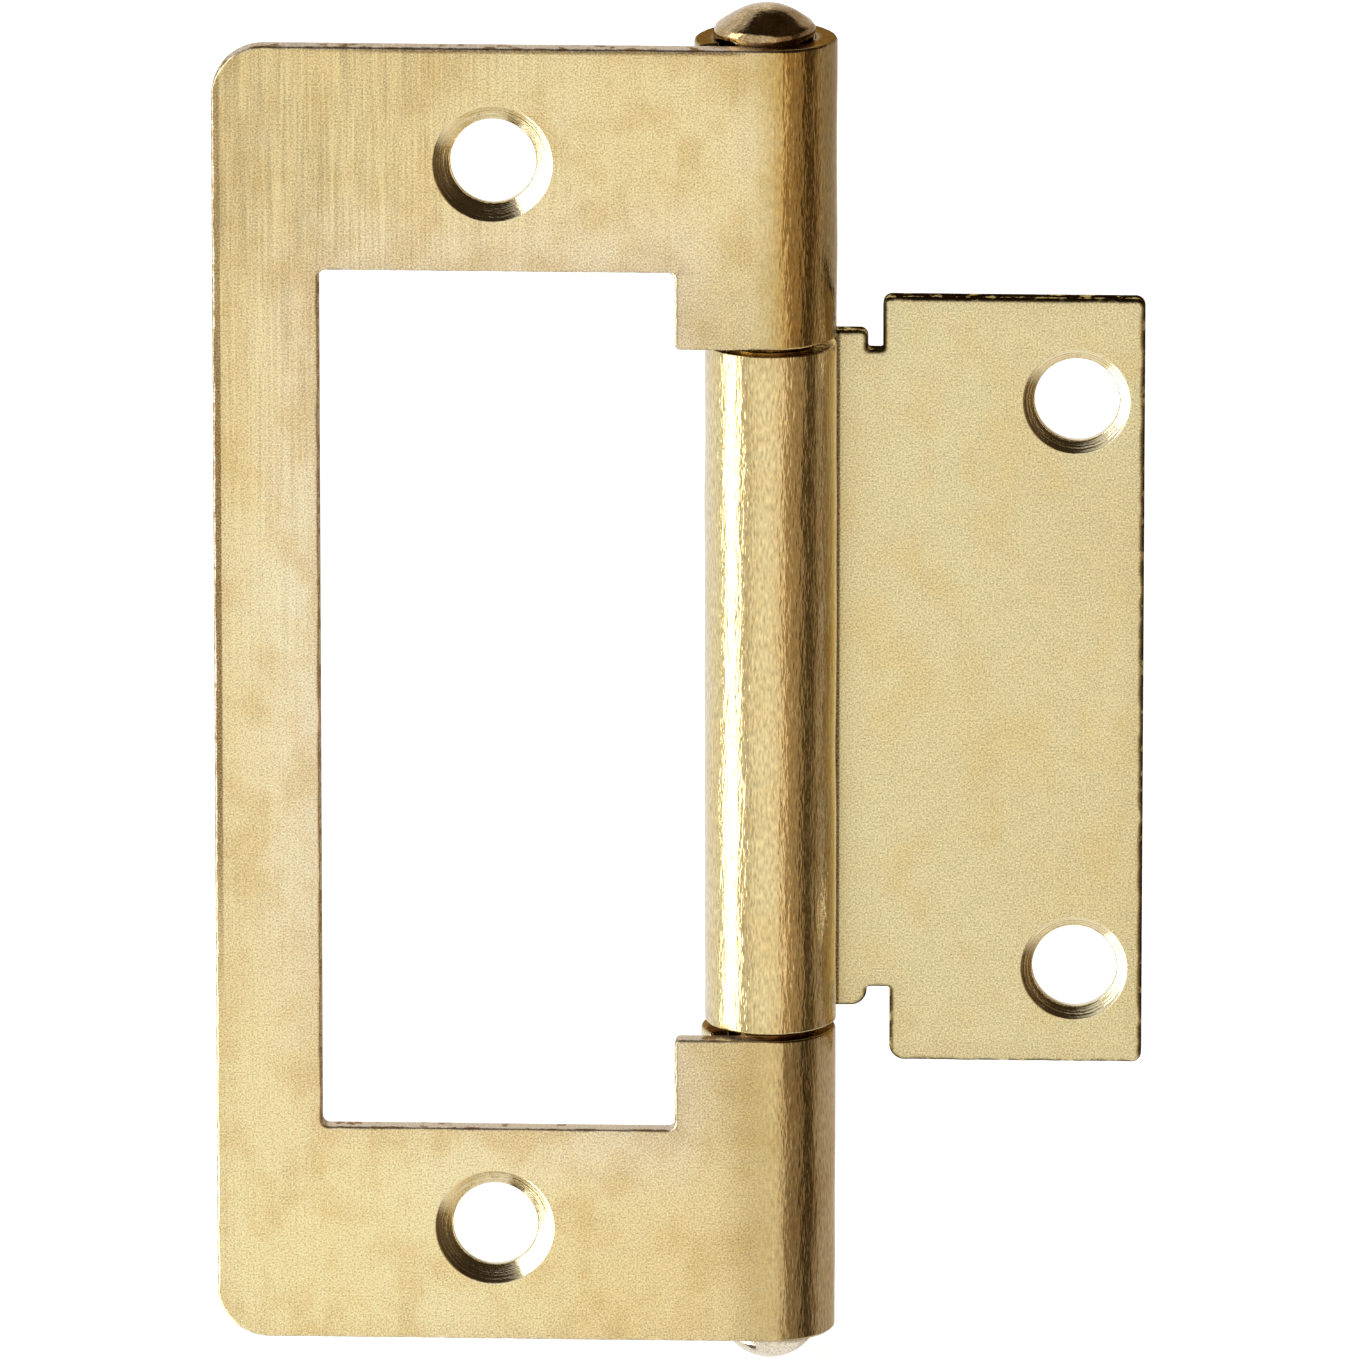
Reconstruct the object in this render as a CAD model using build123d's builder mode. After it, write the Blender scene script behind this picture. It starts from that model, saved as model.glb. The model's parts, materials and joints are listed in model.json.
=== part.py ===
from build123d import *
import os
from math import asin, atan2, cos, degrees, radians

# Louvre door hinge: two leaves of thin sheet that nest in one another, rolled round one pin.
# Millimetres, +Z up along the pin with its head at the top. The origin lies midway between
# the two screw holes of the frame leaf, on the face that goes against the door frame.
# The leaves are open at 180 degrees, side by side, and every countersink faces -Y.

# Sheet and pin
sheet = 1.2                    # thickness of both leaves
pin_radius = 2.45
pin_clearance = 0.05           # running fit between the pin and every knuckle
seam_gap = 0.12                # between the end of a curl and the leaf that it comes round to

# Frame leaf: the outer leaf, with the window and the two end knuckles
frame_height = 75.0
frame_reach = 31.1             # pin axis to the far edge
frame_corner = 2.9             # radius of the two outer corners
side_rail = 5.95               # width of the rail along the far edge
top_rail = 12.8                # height of the rail above the window
bottom_rail = 12.4             # height of the rail below it
lug_reach = 5.25               # pin axis to the edge of the lugs that carry the end knuckles
top_knuckle = 17.2             # length of the knuckle under the pin's head
bottom_knuckle = 17.7          # length of the knuckle at its tail
window_corner = 0.42           # radius in the corners of the window
lug_corner = 0.3               # radius on the free corner of each lug
frame_edge = 0.2               # rounding of the edges on the countersunk face
top_curl_opening = 0.58        # how far the far side of each end curl stands off a round knuckle
bottom_curl_opening = 0.2
frame_screw_reach = 15.4       # pin axis to the screw holes
frame_screw_inset = 6.6        # end of the leaf to the screw holes
frame_sink_diameter = 6.7

# Door leaf: the inner leaf, with the ears and the middle knuckle
knuckle_gap = 0.37             # end play between neighbouring knuckles
neck_past_lug = 0.1            # how far the neck runs past the edge of the lugs
top_notch_width = 0.85
bottom_notch_width = 1.3
notch_depth = 1.1              # relief between the neck and each ear
far_clearance = 4.25           # door leaf to the side rail when it lies in the window
top_clearance = 2.8            # top ear to the rail above it
bottom_clearance = 2.5         # bottom ear to the rail below it
door_corner = 0.55             # radius of the two outer corners
top_ear_corner = 0.5           # radius of the inner corner of each ear
bottom_ear_corner = 0.85
top_neck_corner = 0.3          # radius of the neck's upper corner
notch_corner = 0.15            # radius in the bottom of the notches
bottom_neck_land = 0.08        # straight edge left between the neck's lower corner and its notch
door_edge = 0.28               # rounding of the edges on the countersunk face
door_screw_edge = 3.8          # far edge of the leaf to the screw holes
top_ear_inset = 5.95           # end of the top ear to its screw hole
bottom_ear_inset = 5.5         # end of the bottom ear to its screw hole
door_sink_diameter = 6.05

# Screw holes of both leaves
screw_hole_diameter = 4.8
sink_angle = 100               # full angle of the countersinks, in degrees

# Pin head and tail
head_radius = 2.84
head_offset = 0.4              # the head was formed a little to one side of the shank
crown_peak = 2.53              # height at which the crown's flanks would meet in a point
nose_radius = 3.3              # dome on top of the crown
rim_height = 0.64              # height of the rim above its seat on the knuckle
rim_round = 0.45
tail_length = 1.85             # how far the tail stands below the knuckle
tail_land = 0.5                # straight part of the tail, before its dome

# Derived sizes
bore_radius = pin_radius + pin_clearance
barrel_radius = bore_radius + sheet
half_height = frame_height / 2
frame_screw_spacing = frame_height - 2 * frame_screw_inset

# Places: the leaf's mounting face is the plane Y = 0, the pin stands behind it.
pin_x = frame_screw_reach
pin_y = bore_radius
far_x = pin_x - frame_reach
window_far_x = far_x + side_rail
lug_x = pin_x - lug_reach
window_top = half_height - top_rail
window_bottom = -half_height + bottom_rail
top_lug_end = half_height - top_knuckle
bottom_lug_end = -half_height + bottom_knuckle

middle_top = top_lug_end - knuckle_gap
middle_bottom = bottom_lug_end + knuckle_gap
bottom_neck_corner = notch_depth - notch_corner - bottom_neck_land
neck_x = pin_x + lug_reach + neck_past_lug
door_far_x = pin_x + frame_reach - side_rail - far_clearance
ear_top = window_top - top_clearance
ear_bottom = window_bottom + bottom_clearance
door_screw_x = door_far_x - door_screw_edge
door_screw_top = ear_top - top_ear_inset
door_screw_bottom = ear_bottom + bottom_ear_inset

# Faces that hold the countersinks, both looking along -Y
frame_front = Plane.XZ.offset(sheet)
door_front = Plane.XZ.offset(-pin_y - bore_radius)
# Half sections of the shank and of the head, each on its own axis
pin_section = Plane((pin_x, pin_y, 0), x_dir=(1, 0, 0), z_dir=(0, -1, 0))
head_section = Plane((pin_x - head_offset, pin_y, half_height), x_dir=(1, 0, 0), z_dir=(0, -1, 0))


def curl_profile(start_angle, opening=0):
    """Section of a rolled knuckle, from where it leaves its leaf round to the seam.

    The first half turn hugs the pin. The rest goes on round a centre moved towards the leaf,
    so that it stands off by the opening, until its outer corner meets the leaf again.
    """
    half_turn = 180
    pin_axis = Vector(pin_x, pin_y)
    open_centre = pin_axis + Vector(opening, 0).rotate(Axis.Z, start_angle)
    seam_drop = bore_radius - opening - seam_gap
    closing_turn = 90 + degrees(asin(seam_drop / (barrel_radius + opening)))
    with BuildSketch() as profile:
        with BuildLine():
            ends = []
            for radius in (bore_radius, barrel_radius):
                hug = CenterArc(pin_axis, radius, start_angle, half_turn)
                closing = CenterArc(open_centre, radius + opening, start_angle + half_turn, closing_turn)
                ends.append((hug @ 0, closing @ 1))
            for inner_end, outer_end in zip(*ends):
                Line(inner_end, outer_end)
        make_face()
    return profile.sketch


def corner_at(x, z):
    """The one corner of the outline being drawn that lies nearest to a place on its plane."""
    return vertices().sort_by_distance((x, z))[0]


def screw_hole(sink_diameter):
    """Countersunk hole through one leaf, with the cone open to the front."""
    CounterSinkHole(screw_hole_diameter / 2, sink_diameter / 2, depth=sheet, counter_sink_angle=sink_angle)


# Frame leaf: the blank with its window, then the two end knuckles rolled from its lugs
with BuildPart() as frame_leaf:
    with BuildSketch(frame_front):
        with BuildLine():
            Polyline(
                (pin_x, half_height),
                (far_x, half_height),
                (far_x, -half_height),
                (pin_x, -half_height),
                (pin_x, bottom_lug_end),
                (lug_x, bottom_lug_end),
                (lug_x, window_bottom),
                (window_far_x, window_bottom),
                (window_far_x, window_top),
                (lug_x, window_top),
                (lug_x, top_lug_end),
                (pin_x, top_lug_end),
                close=True,
            )
        make_face()
        for leaf_end, window_end, lug_end in (
            (half_height, window_top, top_lug_end),
            (-half_height, window_bottom, bottom_lug_end),
        ):
            fillet(corner_at(far_x, leaf_end), frame_corner)
            fillet(corner_at(window_far_x, window_end), window_corner)
            fillet(corner_at(lug_x, window_end), window_corner)
            fillet(corner_at(lug_x, lug_end), lug_corner)
    extrude(amount=-sheet)
    for knuckle_base, knuckle_length, opening in (
        (top_lug_end, top_knuckle, top_curl_opening),
        (-half_height, bottom_knuckle, bottom_curl_opening),
    ):
        with BuildSketch(Plane.XY.offset(knuckle_base)):
            add(curl_profile(-90, opening))
        extrude(amount=knuckle_length)
    front_edges = edges().filter_by(Plane.XZ)
    outer_edge = front_edges.sort_by_distance((far_x, -sheet, 0))[0]
    window_edge = front_edges.sort_by_distance((window_far_x, -sheet, 0))[0]
    fillet([outer_edge, window_edge], frame_edge)
    with Locations(frame_front):
        with GridLocations(0, frame_screw_spacing, 1, 2):
            screw_hole(frame_sink_diameter)
frame_leaf.part.label = "frame_leaf"

# Door leaf: the blank with its neck, notches and ears, then the middle knuckle
with BuildPart() as door_leaf:
    with BuildSketch(door_front):
        with BuildLine():
            Polyline(
                (pin_x, middle_top),
                (neck_x, middle_top),
                (neck_x, middle_top - notch_depth),
                (neck_x + top_notch_width, middle_top - notch_depth),
                (neck_x + top_notch_width, ear_top),
                (door_far_x, ear_top),
                (door_far_x, ear_bottom),
                (neck_x + bottom_notch_width, ear_bottom),
                (neck_x + bottom_notch_width, middle_bottom + notch_depth),
                (neck_x, middle_bottom + notch_depth),
                (neck_x, middle_bottom),
                (pin_x, middle_bottom),
                close=True,
            )
        make_face()
        fillet(corner_at(door_far_x, ear_top), door_corner)
        fillet(corner_at(door_far_x, ear_bottom), door_corner)
        fillet(corner_at(neck_x + top_notch_width, ear_top), top_ear_corner)
        fillet(corner_at(neck_x + bottom_notch_width, ear_bottom), bottom_ear_corner)
        fillet(corner_at(neck_x, middle_top), top_neck_corner)
        fillet(corner_at(neck_x, middle_bottom), bottom_neck_corner)
        for notch_floor, notch_width in (
            (middle_top - notch_depth, top_notch_width),
            (middle_bottom + notch_depth, bottom_notch_width),
        ):
            fillet(corner_at(neck_x, notch_floor), notch_corner)
            fillet(corner_at(neck_x + notch_width, notch_floor), notch_corner)
    extrude(amount=-sheet)
    outer_edge = edges().filter_by(Plane.XZ).sort_by_distance((door_far_x, pin_y + bore_radius, 0))[0]
    fillet(outer_edge, door_edge)
    with BuildSketch(Plane.XY.offset(middle_bottom)):
        add(curl_profile(90))
    extrude(amount=middle_top - middle_bottom)
    with Locations(door_front):
        with Locations((door_screw_x, door_screw_top), (door_screw_x, door_screw_bottom)):
            screw_hole(door_sink_diameter)
door_leaf.part.label = "door_leaf"

# Hinge pin: a turned shank with a domed tail, and a head upset on its upper end
with BuildPart() as hinge_pin:
    with BuildSketch(pin_section):
        with BuildLine():
            tail_edge = (pin_radius, -half_height - tail_land)
            tail_tip = (0, -half_height - tail_length)
            Polyline(tail_tip, (0, half_height), (pin_radius, half_height), tail_edge)
            dome_height = tail_length - tail_land
            dome_radius = (pin_radius**2 + dome_height**2) / (2 * dome_height)
            RadiusArc(tail_edge, tail_tip, dome_radius)
        make_face()
    revolve(axis=Axis(pin_section.origin, (0, 0, 1)))
    with BuildSketch(head_section):
        with BuildLine():
            flank = degrees(atan2(crown_peak - rim_height, head_radius))
            nose_centre = (0, crown_peak - nose_radius / cos(radians(flank)))
            nose = CenterArc(nose_centre, nose_radius, 90 - flank, flank)
            Polyline(nose @ 0, (head_radius, rim_height), (head_radius, 0), (0, 0), nose @ 1)
        make_face()
        fillet(corner_at(head_radius, rim_height), rim_round)
    revolve(axis=Axis(head_section.origin, (0, 0, 1)))
hinge_pin.part.label = "hinge_pin"

os.makedirs("parts", exist_ok=True)
for piece in (frame_leaf, door_leaf, hinge_pin):
    export_step(piece.part, f"parts/{piece.part.label}.step")
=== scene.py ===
# %% [markdown]
# # A louvre door hinge in brassed sheet steel
#
# The hinge is two stamped leaves, rolled round one riveted pin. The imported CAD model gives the
# exact sizes, and this lesson gives the looks: the rolled-over edges, the rippled knuckles, the
# turned countersinks and the satin plating. It starts by loading the CAD model as a fixed frame.
# Every piece made below is in metres in the same frame, so nothing has to be moved into place.

import json
import math

import bpy
import numpy as np
from mathutils import Matrix, Vector
from mathutils.geometry import delaunay_2d_cdt


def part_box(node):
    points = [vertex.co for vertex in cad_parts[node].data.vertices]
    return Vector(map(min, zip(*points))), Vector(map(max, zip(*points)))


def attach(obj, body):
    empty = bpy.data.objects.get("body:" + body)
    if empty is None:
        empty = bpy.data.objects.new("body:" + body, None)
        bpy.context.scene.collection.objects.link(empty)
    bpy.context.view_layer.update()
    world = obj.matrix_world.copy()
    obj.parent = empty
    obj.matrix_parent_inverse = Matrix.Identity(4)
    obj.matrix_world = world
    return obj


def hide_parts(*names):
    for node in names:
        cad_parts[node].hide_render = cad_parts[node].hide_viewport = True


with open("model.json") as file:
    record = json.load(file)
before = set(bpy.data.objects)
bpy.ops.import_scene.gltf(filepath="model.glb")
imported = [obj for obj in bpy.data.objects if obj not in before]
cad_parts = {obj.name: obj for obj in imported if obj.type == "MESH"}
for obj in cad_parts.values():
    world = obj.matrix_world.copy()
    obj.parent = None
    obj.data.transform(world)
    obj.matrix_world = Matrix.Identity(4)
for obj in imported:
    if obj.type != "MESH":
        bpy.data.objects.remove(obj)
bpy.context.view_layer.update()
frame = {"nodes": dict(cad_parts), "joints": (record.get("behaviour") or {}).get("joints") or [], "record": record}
MM = 0.001
print("CAD nodes:", sorted(frame["nodes"]))

# %% [markdown]
# ## Sizes
#
# Most sizes can be read from the frame: the boxes of the three nodes, the joint that the door leaf
# swings on, and the two screw patterns. Only the cut-outs inside the leaves have to be repeated
# here, because a box doesn't show them. All lengths are in millimetres until a mesh is written.


# %% Sizes read from the frame
def box_mm(node):
    """Lowest and highest corner of a CAD node, in millimetres."""
    low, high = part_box(node)
    return np.array(low) / MM, np.array(high) / MM


frame_low, frame_high = box_mm("frame_leaf")
door_low, door_high = box_mm("door_leaf")
pin_low, pin_high = box_mm("hinge_pin")
pin_x, pin_y, _ = np.array(frame["joints"][0]["pos_m"]) / MM
sheet = -frame_low[1]
barrel_radius = frame_high[0] - pin_x
bore_radius = barrel_radius - sheet
half_height = frame_high[2]
mounts = {mount["name"]: mount for mount in frame["record"]["mounts"]}
screw_hole_radius = mounts["frame_screws"]["dims"]["hole_r_mm"]
print(f"sheet {sheet:.2f} mm, barrel radius {barrel_radius:.2f} mm, pin axis at x {pin_x:.1f} y {pin_y:.1f}")

# %% Sizes of the cut-outs
seam_gap = 0.12
side_rail = 5.95
top_rail = 12.8
bottom_rail = 12.4
lug_reach = 5.25
top_knuckle = 17.2
bottom_knuckle = 17.7
knuckle_gap = 0.37
neck_past_lug = 0.1
top_notch_width = 0.85
bottom_notch_width = 1.3
notch_depth = 1.1
top_curl_opening = 0.58
bottom_curl_opening = 0.2
frame_sink_radius = 3.35
door_sink_radius = 3.025
sink_half_angle = math.radians(50)

window_top = half_height - top_rail
window_bottom = -half_height + bottom_rail
top_lug_end = half_height - top_knuckle
bottom_lug_end = -half_height + bottom_knuckle
middle_top = top_lug_end - knuckle_gap
middle_bottom = bottom_lug_end + knuckle_gap
far_reach = pin_x - frame_low[0]
door_reach = door_high[0] - pin_x
neck_reach = lug_reach + neck_past_lug
print(f"window from z {window_bottom:.1f} to {window_top:.1f} mm, pin to door edge {door_reach:.1f} mm")

# %% [markdown]
# ## From a flat blank to a rolled leaf
#
# On the real hinge each leaf is stamped flat and its lugs are then rolled round a mandrel. The
# mesh is made in the same order. A point of the blank has three numbers: `s`, the distance along
# the sheet past the line where the curl begins, `z`, the height, and `depth` below the face that
# becomes the outside of the knuckle. One function rolls whole arrays of such points. The first
# half turn hugs the pin, and the rest may stand off it a little, as loosely rolled curls do.


# %% The roll
def roll_blank(blank, opening, side):
    """Rolls points of a blank round the pin axis and returns them in the frame, in metres.

    Before the curl the sheet is flat: along = s, off = barrel radius - depth. Over the first half
    turn, a = s / barrel radius: along = (radius - depth) sin a, off = (radius - depth) cos a. After
    it, radius and centre both move by the opening, so that the curl stays tangent and stands off.
    side is 1 for the frame leaf and -1 for the door leaf, which is the same curl turned half round.
    """
    s, z, depth = blank.T
    half_turn = math.pi * barrel_radius
    angle = np.clip(s, 0, half_turn) / barrel_radius
    open_angle = np.clip(s - half_turn, 0, None) / (barrel_radius + opening)
    radius = barrel_radius - depth
    along = np.where(s < 0, s, radius * np.sin(angle))
    off = np.where(s < 0, radius, radius * np.cos(angle))
    past = s > half_turn
    along = np.where(past, -(radius + opening) * np.sin(open_angle), along)
    off = np.where(past, opening - (radius + opening) * np.cos(open_angle), off)
    return np.column_stack((pin_x + side * along, pin_y - side * off, z)) * MM


def curl_length(opening):
    """Length of sheet in a curl: half a turn, then round to where its corner meets the leaf again."""
    seam_drop = bore_radius - opening - seam_gap
    closing = math.pi / 2 + math.asin(seam_drop / (barrel_radius + opening))
    return math.pi * barrel_radius + (barrel_radius + opening) * closing


print(f"a closed curl takes {curl_length(0):.2f} mm of sheet")

# %% [markdown]
# ## Outlines
#
# A stamped outline is straight runs joined by arcs. It is enough to name the corners and their
# radii, and to sample the arcs and the runs finely, because the sheet has to bend smoothly later.
# The outline runs anticlockwise, so the outward direction is always to the right of the way it goes.

# %% Rounded outline
outline_step = 0.25
arc_step = 0.06


def rounded_outline(corners, radii):
    """Closed outline through the corners, each replaced by an arc of its own radius.

    An arc of radius r that turns by t starts r * tan(t / 2) before its corner. From there a point
    is r * sin(angle) onwards and r * (1 - cos(angle)) to the inner side of the turn.
    """
    corners = np.asarray(corners, float)
    arriving = corners - np.roll(corners, 1, axis=0)
    arriving /= np.linalg.norm(arriving, axis=1, keepdims=True)
    leaving = np.roll(arriving, -1, axis=0)
    turn = np.arctan2(arriving[:, 0] * leaving[:, 1] - arriving[:, 1] * leaving[:, 0],
                      (arriving * leaving).sum(axis=1))
    arcs = []
    for corner, ahead, angle, radius in zip(corners, arriving, turn, radii):
        start = corner - ahead * radius * math.tan(abs(angle) / 2)
        inner = np.array((-ahead[1], ahead[0])) * np.sign(angle)
        count = max(5, round(radius * abs(angle) / arc_step))
        swept = np.linspace(0, abs(angle), count + 1)[:, None]
        arcs.append(start + radius * (np.sin(swept) * ahead + (1 - np.cos(swept)) * inner))
    pieces = []
    for arc, following in zip(arcs, arcs[1:] + arcs[:1]):
        run = following[0] - arc[-1]
        count = max(1, round(np.linalg.norm(run) / outline_step))
        pieces += [arc, arc[-1] + np.linspace(0, 1, count + 1)[1:-1, None] * run]
    return np.concatenate(pieces)


def circle(centre, radius, count=128):
    """Round hole as a clockwise loop, so that its outward side is the inside of the hole."""
    angle = np.linspace(0, -2 * math.pi, count, endpoint=False)
    return np.asarray(centre) + radius * np.column_stack((np.cos(angle), np.sin(angle)))


def outward(loop):
    """Unit direction out of the material at every point of a loop."""
    ahead = np.roll(loop, -1, axis=0) - np.roll(loop, 1, axis=0)
    ahead /= np.linalg.norm(ahead, axis=1, keepdims=True)
    return np.column_stack((ahead[:, 1], -ahead[:, 0]))


# %% Outline of the frame leaf
curl_corner = 0.4
frame_corner = 2.9
window_corner = 0.42
lug_corner = 0.3
top_end = curl_length(top_curl_opening)
bottom_end = curl_length(bottom_curl_opening)
window_far = side_rail - far_reach

frame_outline = rounded_outline(
    [
        (top_end, half_height),
        (-far_reach, half_height),
        (-far_reach, -half_height),
        (bottom_end, -half_height),
        (bottom_end, bottom_lug_end),
        (-lug_reach, bottom_lug_end),
        (-lug_reach, window_bottom),
        (window_far, window_bottom),
        (window_far, window_top),
        (-lug_reach, window_top),
        (-lug_reach, top_lug_end),
        (top_end, top_lug_end),
    ],
    [
        curl_corner, frame_corner, frame_corner, curl_corner, curl_corner, lug_corner,
        window_corner, window_corner, window_corner, window_corner, lug_corner, curl_corner,
    ],
)
print("frame leaf outline:", len(frame_outline), "points")

# %% Outline of the door leaf
door_corner = 0.55
top_ear_corner = 0.5
bottom_ear_corner = 0.85
top_neck_corner = 0.45
bottom_neck_corner = 0.87
notch_corner = 0.15
door_end = curl_length(0)
ear_top = door_high[2]
ear_bottom = door_low[2]

# Seen from the front the door leaf runs away from the pin to the right, so s is mirrored in x.
door_outline = rounded_outline(
    [
        (door_end, middle_top),
        (-neck_reach, middle_top),
        (-neck_reach, middle_top - notch_depth),
        (-neck_reach - top_notch_width, middle_top - notch_depth),
        (-neck_reach - top_notch_width, ear_top),
        (-door_reach, ear_top),
        (-door_reach, ear_bottom),
        (-neck_reach - bottom_notch_width, ear_bottom),
        (-neck_reach - bottom_notch_width, middle_bottom + notch_depth),
        (-neck_reach, middle_bottom + notch_depth),
        (-neck_reach, middle_bottom),
        (door_end, middle_bottom),
    ],
    [
        curl_corner, top_neck_corner, notch_corner, notch_corner, top_ear_corner, door_corner,
        door_corner, bottom_ear_corner, notch_corner, notch_corner, bottom_neck_corner, curl_corner,
    ],
)
print("door leaf outline:", len(door_outline), "points")

# %% [markdown]
# ## Edges and countersinks
#
# A punch rolls the edge over on the side where it enters and leaves a sharp break on the other.
# A bevel modifier would round every edge alike. Here the cross-section of the edge is carried
# along the outline instead, with a rounding that varies a little from place to place, because it
# is this thin uneven line that catches the light on a stamped leaf. A countersink is the same
# kind of surface: a short profile carried round a circle.


# %% Slow random waves
def waves(places, seed, longest, shortest, count=24):
    """Smooth random values of about unit size at rows of places: a sum of sines, seeded.

    Each sine has a random direction and phase, and a wavelength between shortest and longest.
    """
    draw = np.random.default_rng(seed)
    dimensions = places.shape[1]
    heading = draw.normal(size=(dimensions, count))
    heading /= np.linalg.norm(heading, axis=0)
    wavelength = np.geomspace(shortest, longest, count)
    phase = draw.uniform(0, 2 * math.pi, count)
    return np.sin(places @ (heading * 2 * math.pi / wavelength) + phase).sum(axis=1) / math.sqrt(count / 2)


# %% Edge carried along an outline
edge_pad = 0.05
round_rows = 6
wall_rows = 4


def edge_band(loop, outside_round, inside_round):
    """Rolled-over edge: rows of (s, z, depth) along a loop, from the outside face to the inside face.

    Every row is the loop moved inwards by an inset. On the outside rounding of radius r at angle a
    the inset is r (1 - sin a) and the depth r (1 - cos a). The wall goes straight down, and the
    inside rounding is the same arc turned over. One extra row lies on each face.
    """
    quarter = np.linspace(0, math.pi / 2, round_rows)
    fall, rise = 1 - np.cos(quarter), 1 - np.sin(quarter)
    outer, inner = outside_round[:, None], inside_round[:, None]
    share = np.linspace(0, 1, wall_rows)[1:-1]
    wall_depth = outer + (sheet - inner - outer) * share
    inset = np.hstack((outer + edge_pad, outer * rise, 0 * wall_depth, inner * fall, inner + edge_pad))
    depth = np.hstack((0 * outer, outer * fall, wall_depth, sheet - inner * rise, 0 * inner + sheet))
    flat = loop[:, None, :] - outward(loop)[:, None, :] * inset[:, :, None]
    return np.dstack((flat, depth))


# %% Countersink carried round a circle
sink_lip = 0.03
cone_rows = 12
foot_width = 0.02
foot_drop = 0.03


def sink_band(centre, sink_radius, sunk_outside):
    """Countersunk hole: its profile of (radius, depth) carried round a circle.

    From the sunk face a small rounding leads into the cone, the cone ends on the hole's own radius,
    and the hole runs out at the other face with a broken edge.
    """
    cone_depth = (sink_radius - screw_hole_radius) / math.tan(sink_half_angle)
    radius = np.concatenate((
        sink_radius + sink_lip * np.array((3, 1, 0.3)),
        np.linspace(sink_radius - sink_lip, screw_hole_radius + foot_width, cone_rows),
        screw_hole_radius + sink_lip * np.array((0, 0, 1, 3)),
    ))
    depth = np.concatenate((
        sink_lip * np.array((0, 0, 0.2)),
        np.linspace(sink_lip, cone_depth, cone_rows),
        (cone_depth + foot_drop, sheet - sink_lip, sheet, sheet),
    ))
    if not sunk_outside:
        radius, depth = radius[::-1], sheet - depth[::-1]
    unit = circle((0, 0), 1)
    flat = np.asarray(centre) + unit[:, None, :] * radius[None, :, None]
    return np.dstack((flat, np.broadcast_to(depth, flat.shape[:2])))


# %% [markdown]
# ## Filling the faces
#
# Between the edge and the holes lies plain sheet. A constrained triangulation fills it: the inner
# rows of the edges and countersinks are its borders, and a grid of points inside lets the sheet
# bend and ripple. The grid is fine along the curl, where the sheet turns, and coarse on the flat.


# %% Points inside the borders
def chunks(points, rows=400):
    """Points in parts of about so many rows, to keep the tables below small."""
    return np.array_split(points, max(1, len(points) // rows))


def inside(points, loops):
    """True for points inside the outer loop and outside the holes: an odd count of crossings."""
    start = np.concatenate(loops)
    end = np.concatenate([np.roll(loop, -1, axis=0) for loop in loops])
    odd = []
    for part in chunks(points):
        s, z = part[:, :1], part[:, 1:]
        straddles = (start[:, 1] > z) != (end[:, 1] > z)
        slope = (end[:, 0] - start[:, 0]) / np.where(end[:, 1] == start[:, 1], 1, end[:, 1] - start[:, 1])
        odd.append((straddles & (s < start[:, 0] + (z - start[:, 1]) * slope)).sum(axis=1) % 2 == 1)
    return np.concatenate(odd)


def reach_to(points, loops):
    """Distance from every point to the nearest point of the loops."""
    places = np.concatenate(loops)
    near = [np.sqrt(((part[:, None, :] - places) ** 2).sum(axis=2).min(axis=1))
            for part in chunks(points)]
    return np.concatenate(near)


# %% Filled face
flat_pitch = 1.0
curl_pitch = 0.25
border_room = 0.3


def fill_face(loops):
    """Inner points and triangles of a face between its outer loop and its holes.

    Triangles count the points of the loops first, in order, and then the inner points.
    """
    low, high = loops[0].min(axis=0), loops[0].max(axis=0)
    columns = np.concatenate((np.arange(low[0], 0, flat_pitch), np.arange(0, high[0], curl_pitch)))
    rows = np.arange(low[1], high[1], flat_pitch)
    grid = np.stack(np.meshgrid(columns, rows), axis=-1).reshape(-1, 2)
    grid = grid[inside(grid, loops)]
    grid = grid[reach_to(grid, loops) > border_room]
    points = np.concatenate(loops + [grid])
    first = np.cumsum([0] + [len(loop) for loop in loops])
    borders = [np.column_stack((np.arange(len(loop)), np.roll(np.arange(len(loop)), -1))) + start
               for loop, start in zip(loops, first)]
    # Type 0 gives triangles out to the convex hull. The tolerance merges only points that coincide.
    found = delaunay_2d_cdt([Vector(p) for p in points], np.concatenate(borders).tolist(), [], 0, 1e-6)
    if len(found[0]) != len(points):
        raise ValueError("two border points of a leaf lie on one another")
    triangles = np.array(found[2])
    corners = points[triangles]
    a, b = corners[:, 1] - corners[:, 0], corners[:, 2] - corners[:, 0]
    backwards = a[:, 0] * b[:, 1] < a[:, 1] * b[:, 0]
    triangles[backwards] = triangles[backwards][:, ::-1]
    return grid, triangles[inside(corners.mean(axis=1), loops)]


# %% [markdown]
# ## Putting a leaf together
#
# One mesh holds the outer edge, the countersinks and the two filled faces. They share their border
# points, so the skin is closed. The flat coordinates go with every point as an attribute, so that
# brush marks can follow the sheet round the curl, and so does the nearness to an edge, where the
# plating is darker. The sheet also gets a slow ripple, far too small to measure but not to see.


# %% Grid faces and mesh
def band_faces(along, across, start):
    """Quads of a closed band: `along` points round the loop, `across` rows, first point at start."""
    here = np.arange(along)[:, None] * across + np.arange(across - 1)
    ahead = np.roll(here, -1, axis=0)
    return np.stack((here, here + 1, ahead + 1, ahead), axis=-1).reshape(-1, 4) + start


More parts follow.
